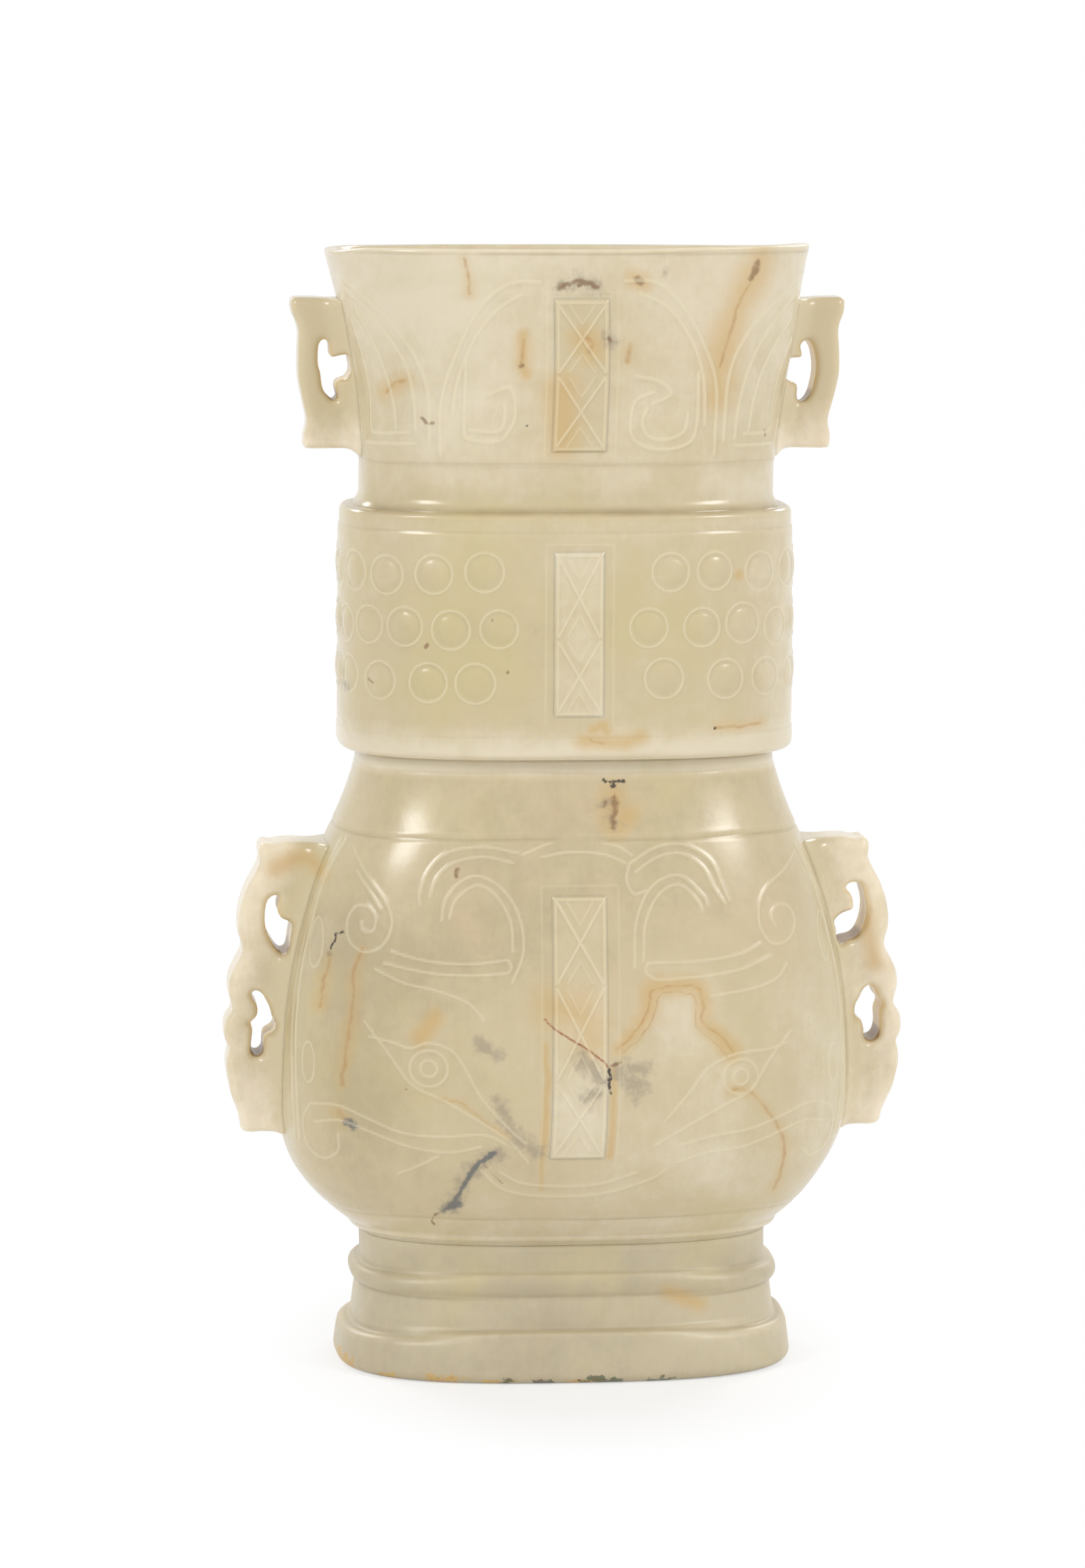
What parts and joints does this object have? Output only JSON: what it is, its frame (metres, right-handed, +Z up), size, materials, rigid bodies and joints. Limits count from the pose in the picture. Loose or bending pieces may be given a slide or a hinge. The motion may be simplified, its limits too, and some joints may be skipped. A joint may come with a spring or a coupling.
{
  "type": "vase",
  "caption": "Flattened baluster vase in pale jade with a studded collar, stepped foot, pierced side handles and raised flanges on both faces.",
  "frame": {"origin": "middle of the foot's underside, on the surface the vase stands on", "axes": "+Z up to the mouth, +X to the right along the wide way through both handles, -Y towards the viewer, out of the front face"},
  "size_m": [0.1226, 0.069, 0.2],
  "materials": {
    "jade": "polished pale celadon nephrite with cream clouds, russet veins and small dark inclusions",
    "handle_jade": "polished pale cream nephrite, slightly warmer than the body"
  },
  "bodies": {
    "root": {"vessel": "jade", "collar": "jade", "foot": "jade", "mouth_handle_left": "handle_jade", "mouth_handle_right": "handle_jade", "belly_handle_left": "handle_jade", "belly_handle_right": "handle_jade", "mouth_flange_front": "jade", "mouth_flange_back": "jade", "collar_flange_front": "jade", "collar_flange_back": "jade", "belly_flange_front": "jade", "belly_flange_back": "jade"}
  },
  "joints": []
}
